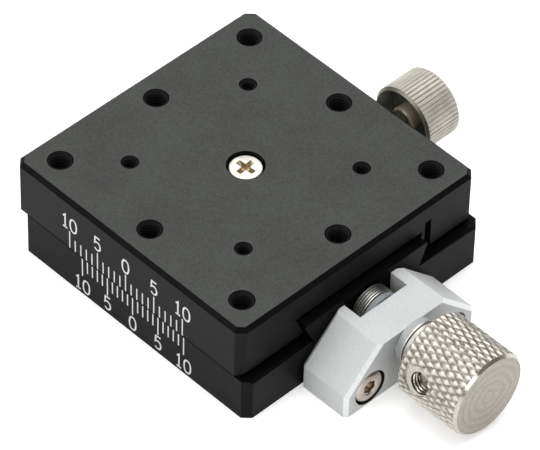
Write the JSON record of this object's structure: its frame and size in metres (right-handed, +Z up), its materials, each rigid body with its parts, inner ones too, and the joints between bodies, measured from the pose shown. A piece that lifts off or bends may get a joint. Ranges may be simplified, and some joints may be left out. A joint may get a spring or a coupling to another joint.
{
  "type": "manual linear stage",
  "caption": "Square dovetail linear stage with a tapped table, engraved vernier scale, knurled feed-screw knob in an end bracket and a fluted side clamp knob.",
  "frame": {"origin": "centre of the base plate's underside", "axes": "+X along the travel towards the feed knob, +Y towards the clamp knob, +Z up out of the table; the scale is on the -Y side"},
  "size_m": [0.0619, 0.0492, 0.0144],
  "materials": {
    "black_anodised": "black anodised, fine matt",
    "clear_anodised": "clear anodised, satin",
    "steel": "bright, nickel tone",
    "resin": "moulded blue-grey resin",
    "brass": "turned"
  },
  "bodies": {
    "base": {"base_plate": "black_anodised", "bracket": "clear_anodised", "bracket_screw_front": "steel", "bracket_screw_back": "steel", "inner_bush": "resin", "outer_bush": "resin", "stop_pin": "steel"},
    "table": {"table_plate": "black_anodised", "feed_nut": "brass", "nut_screw": "steel", "gib_screw_left": "steel", "gib_screw_right": "steel"},
    "feed": {"feed_screw": "steel", "thrust_collar": "steel", "steel_washer": "steel", "feed_knob": "steel", "knob_set_screw": "steel"},
    "clamp_foot": {"clamp_plug": "brass"},
    "clamp": {"clamp_screw": "steel", "clamp_knob": "steel"}
  },
  "joints": [
    {"name": "table_slide", "type": "slide", "parent": "base", "child": "table", "axis": [1, 0, 0], "range_m": [-0.00875, 0.01125]},
    {"name": "feed_turn", "type": "hinge", "parent": "base", "child": "feed", "pos_m": [0.02, 0, 0.0063], "axis": [1, 0, 0], "range_deg": [-8101, 6301]},
    {"name": "clamp_press", "type": "slide", "parent": "table", "child": "clamp_foot", "axis": [0, 1, 0], "range_m": [-0.000125, 0.0005]},
    {"name": "clamp_turn", "type": "hinge", "parent": "clamp_foot", "child": "clamp", "pos_m": [0.0025, 0.02, 0.0089], "axis": [0, 1, 0], "range_deg": [-91, 361]}
  ],
  "couplings": [
    {"joint": "feed_turn", "follows": "table_slide", "rad_per_m": -12566},
    {"joint": "clamp_turn", "follows": "clamp_press", "rad_per_m": 12566}
  ]
}
